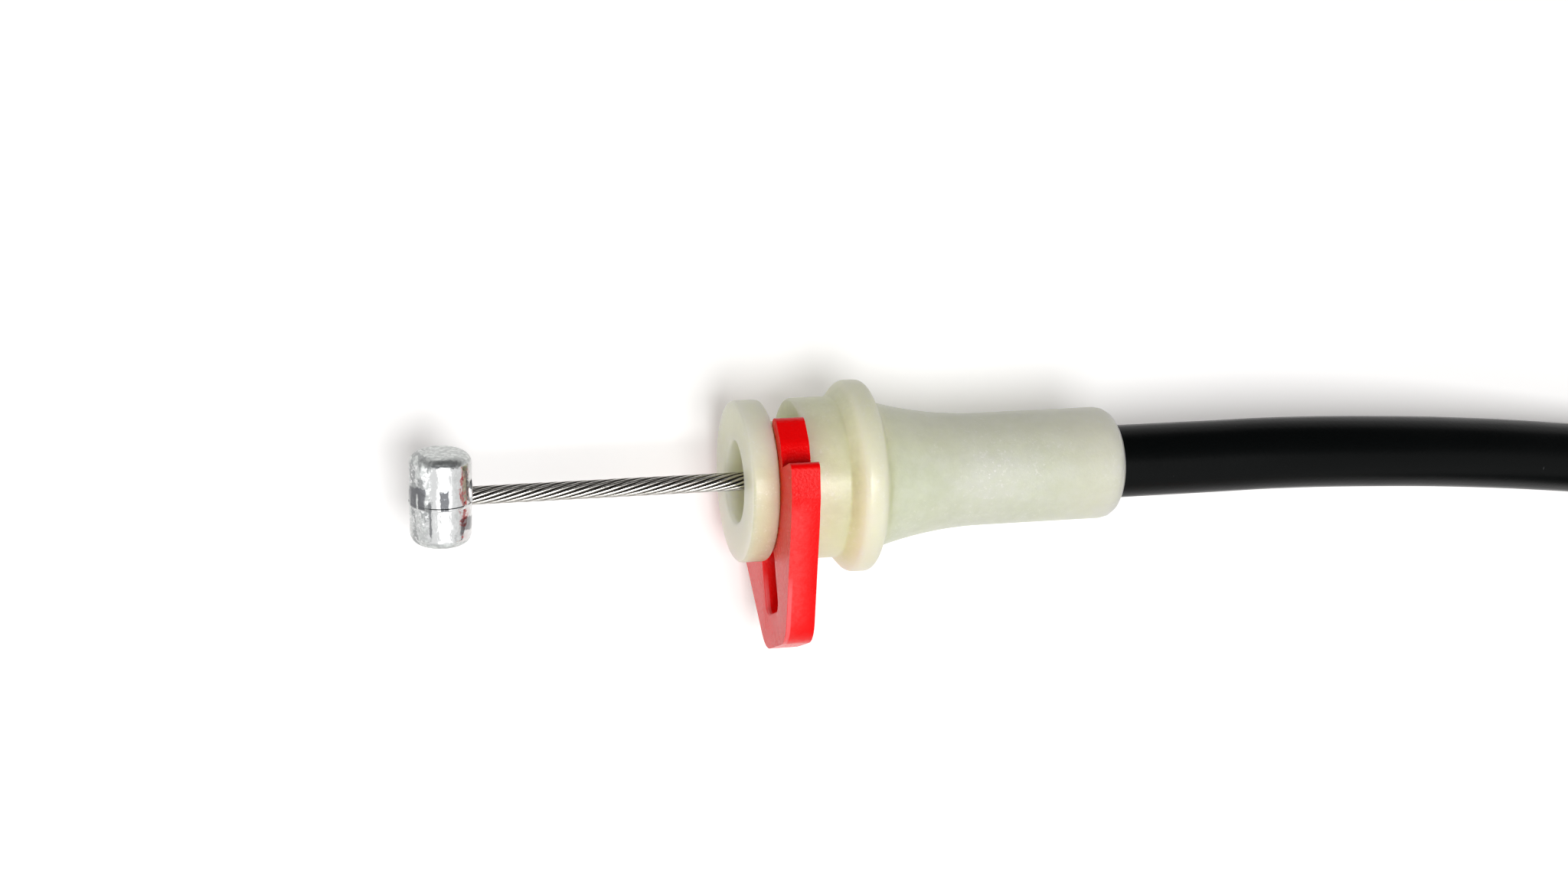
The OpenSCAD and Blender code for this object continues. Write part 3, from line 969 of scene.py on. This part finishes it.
def lockFinish(name, shift, side, part):
    # deep red, with a painted sheen along the tab's sloping side and a painted reflection on the
    # lower chamfer
    finish = startFinish(name)
    place = finish.place(shift, (1, side, 1))
    x, y, z = finish.split(place)
    flow = finish.noise(finish.place(shift, (1, part["flowStretch"] * side, 1)), *part["flow"])
    peel = finish.noise(place, *part["peel"]).rise(*part["peelCut"])
    level = y + flow * part["flowReach"]
    # a painted sheen along the tab's sloping side, broken up where the skin is rough
    paintedSheen = level.window(*part["paintedSheen"]) * x.fall(*part["sheenEnd"])
    least, more = part["sheenBreak"]
    paintedSheen = paintedSheen * abs(z - part["sheenMiddle"]).rise(*part["sheenSide"]) * (least + peel * more)
    # a painted reflection on the lower part of the chamfer beside the face
    edge = x.window(*part["edge"]) * level.fall(*part["chamferReflectionEnd"])
    tone = finish.blend(flow.rise(*part["flowCut"]), *part["tones"])
    tone = finish.blend(paintedSheen, tone, part["sheenTone"])
    tone = finish.blend(edge * part["chamferReflectionShare"], tone, part["chamferReflectionTone"])
    grain = finish.bump(finish.noise(place, *part["grain"]), *part["grainBump"])
    polish, frosting = part["roughness"]
    return finish.shine(
        colour=tone, roughness=polish + flow * frosting, normal=grain, ior=part["ior"]
    )


jacketBlack = {
    "mottle": (0.35, 4, 0.6),
    "scuffs": (1.1, 2),
    "scuffStretch": (2.2, 0.5, 0.5),
    "scuffCut": (0.76, 0.79),
    "scuffDepth": 0.7,
    "tones": ((7, 9, 9), (120, 121, 124)),
    "skin": (3.2, 4),
    "skinBump": (0.02, 0.5),
    "roughness": (0.25, 0.12),
    "specular": 0.07,
}


def jacketFinish(part):
    finish = startFinish("black_jacket")
    place = finish.place()
    mottle = finish.noise(place, *part["mottle"])
    scuffPlace = finish.place(stretch=part["scuffStretch"])
    scuffs = finish.noise(scuffPlace, *part["scuffs"]).rise(*part["scuffCut"])
    tone = finish.blend(scuffs * part["scuffDepth"], *part["tones"])
    skin = finish.bump(finish.noise(place, *part["skin"]), *part["skinBump"])
    polish, frosting = part["roughness"]
    return finish.shine(
        colour=tone, roughness=polish + mottle * frosting, normal=skin, specular=part["specular"]
    )


strapWeave = {
    "fuzz": (6, 4, 0.7),
    "fuzzCut": (0.35, 0.7),
    "tones": ((40, 42, 46), (66, 69, 74)),
    "weave": ("DIAGONAL", 3.0),
    "weaveBump": (0.05, 0.5),
    "fuzzBump": (0.06, 0.8),
    "roughness": 0.8,
    "sheen": 0.2,
}


def strapFinish(part):
    finish = startFinish("strap_weave")
    place = finish.place()
    fuzz = finish.noise(place, *part["fuzz"])
    tone = finish.blend(fuzz.rise(*part["fuzzCut"]), *part["tones"])
    coarse = finish.bump(finish.wave(place, *part["weave"]), *part["weaveBump"])
    skin = finish.bump(fuzz, *part["fuzzBump"], coarse)
    return finish.shine(
        colour=tone, roughness=part["roughness"], normal=skin, sheen=part["sheen"]
    )


linerPlastic = {
    "mottle": (1.5, 3),
    "tones": ((226, 226, 220), (240, 240, 236)),
    "roughness": 0.45,
}


def linerFinish(part):
    finish = startFinish("liner_plastic")
    mottle = finish.noise(finish.place(), *part["mottle"])
    tone = finish.blend(mottle, *part["tones"])
    return finish.shine(colour=tone, roughness=part["roughness"])


woundArmour = {
    "bands": ("X", 0.25),
    "bandCut": (0.1, 0.4),
    "tones": ((60, 60, 62), (150, 150, 152)),
    "bandBump": (0.15, 1.0),
    "roughness": 0.38,
}


def armourFinish(part):
    finish = startFinish("wound_armour")
    bands = finish.wave(finish.place(), *part["bands"])
    tone = finish.blend(bands.rise(*part["bandCut"]), *part["tones"])
    skin = finish.bump(bands, *part["bandBump"])
    return finish.shine(colour=tone, metallic=1.0, roughness=part["roughness"], normal=skin)


ends = {
    "near": {
        "shift": Vector((0, 0, 0)),
        "wireShift": Vector((0, 0, 0)),
        "clipSide": 1,
        "shapes": (nearNipple, nearStrand, nearFerrule, nearClip),
    },
    "far": {
        "shift": farPlace,
        "wireShift": farPlace + farSlack,
        "clipSide": -1,
        "shapes": (farNipple, farStrand, farFerrule, farClip),
    },
}
liner, armour = linerFinish(linerPlastic), armourFinish(woundArmour)
for end, part in ends.items():
    castShape, strandShape, mouldShape, clipShape = part["shapes"]
    cast = zincFinish(end + "_zinc", part["wireShift"], zinc)
    wire = strandFinish(end + "_steel", part["wireShift"], steel)
    milky = nylonFinish(end + "_nylon", part["shift"], nylon)
    red = lockFinish(end + "_red", part["shift"], part["clipSide"], lockRed)
    dress(castShape, cast, "zinc", end + "_wire", end + "_nipple")
    dress(strandShape, wire, "wire", end + "_wire", end + "_wire_strands")
    dress(mouldShape, milky, "nylon", "conduit", end + "_ferrule")
    dress(clipShape, red, "lock_red", end + "_clip", end + "_clip")
    for name, material in (("_wire_core", wire), ("_liner", liner), ("_armour", armour)):
        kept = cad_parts[end + name]
        kept.data.materials.clear()
        kept.data.materials.append(material)

black, strap = jacketFinish(jacketBlack), strapFinish(strapWeave)
dress(tieA, strap, "tie", "conduit", "coil_tie_a")
dress(tieB, strap, "tie", "conduit", "coil_tie_b")
dress(
    sheathShape, black, "jacket", "conduit",
    "near_jacket", "sheath_lead", "sheath_coil", "sheath_tail", "far_jacket",
)
print("pieces dressed")

bench = {
    "level": -9.739,
    "size": 3000,
    "tone": (240, 240, 240),
    "lift": 0.36,  # how much the paper glows where it is seen
    "liftColour": (1, 0.97, 0.945, 1),
}
cards = {
    "small_card": {"place": (-75, 10, 290), "width": 90, "height": 60, "tone": (46, 48, 52)},
    "canopy": {"place": (50, 200, 180), "width": 800, "height": 560, "tone": (104, 105, 107)},
}
paperRoughness = 0.9
lamps = {
    "key": {"place": (-16, -88, 440), "size": 175, "power": 1.46},
    "side": {"place": (20, -330, 330), "size": 340, "power": 0.34},
    "end": {"place": (-420, -60, 170), "size": 260, "power": 0.25},
}
worldLevel = 0.11


def makeBench(part):
    bpy.ops.mesh.primitive_plane_add(size=part["size"] * mm, location=(0, 0, part["level"] * mm))
    floor = bpy.context.object
    floor.name = "bench"
    finish = startFinish("bench_paper")
    seen, glossy, clear = finish.sight()
    lift = (seen + glossy + clear) * part["lift"]
    paper = finish.shine(
        colour=colour(*part["tone"]), roughness=paperRoughness,
        glow=lift, glowColour=part["liftColour"],
    )
    floor.data.materials.append(paper)


def makeCard(name, part):
    # a dark card, seen in the shine of the pieces and nowhere else
    spot = Vector(part["place"]) * mm
    facing = spot.to_track_quat("Z", "Y").to_euler()
    bpy.ops.mesh.primitive_plane_add(size=mm, location=spot, rotation=facing)
    shape = bpy.context.object
    shape.name = name
    shape.scale = (part["width"], part["height"], 1)
    bpy.ops.object.transform_apply(location=True, rotation=True, scale=True)
    shape.visible_camera = shape.visible_diffuse = shape.visible_shadow = False
    finish = startFinish(name + "_paper")
    paper = finish.shine(colour=colour(*part["tone"]), roughness=paperRoughness)
    shape.data.materials.append(paper)


def makeLamp(name, part):
    data = bpy.data.lights.new(name, "AREA")
    data.size = part["size"] * mm
    data.energy = part["power"]
    lamp = bpy.data.objects.new(name, data)
    bpy.context.scene.collection.objects.link(lamp)
    lamp.location = Vector(part["place"]) * mm
    lamp.rotation_euler = (-lamp.location).to_track_quat("-Z", "Y").to_euler()


def makeWorld(level):
    # white where the camera sees it, and dimmer as a light
    world = bpy.data.worlds.new("studio")
    bpy.context.scene.world = world
    finish = Finish(world, "Background")
    strength = level
    for ray in finish.sight():
        strength = ray.orMore(strength)
    finish.feed(finish.shader.inputs["Color"], (1, 1, 1, 1))
    finish.feed(finish.shader.inputs["Strength"], strength)


makeBench(bench)
for cardName, cardPart in cards.items():
    makeCard(cardName, cardPart)
for lampName, lampPart in lamps.items():
    makeLamp(lampName, lampPart)
makeWorld(worldLevel)
bpy.context.scene.view_settings.view_transform = "Standard"
print("bench and lamps set")
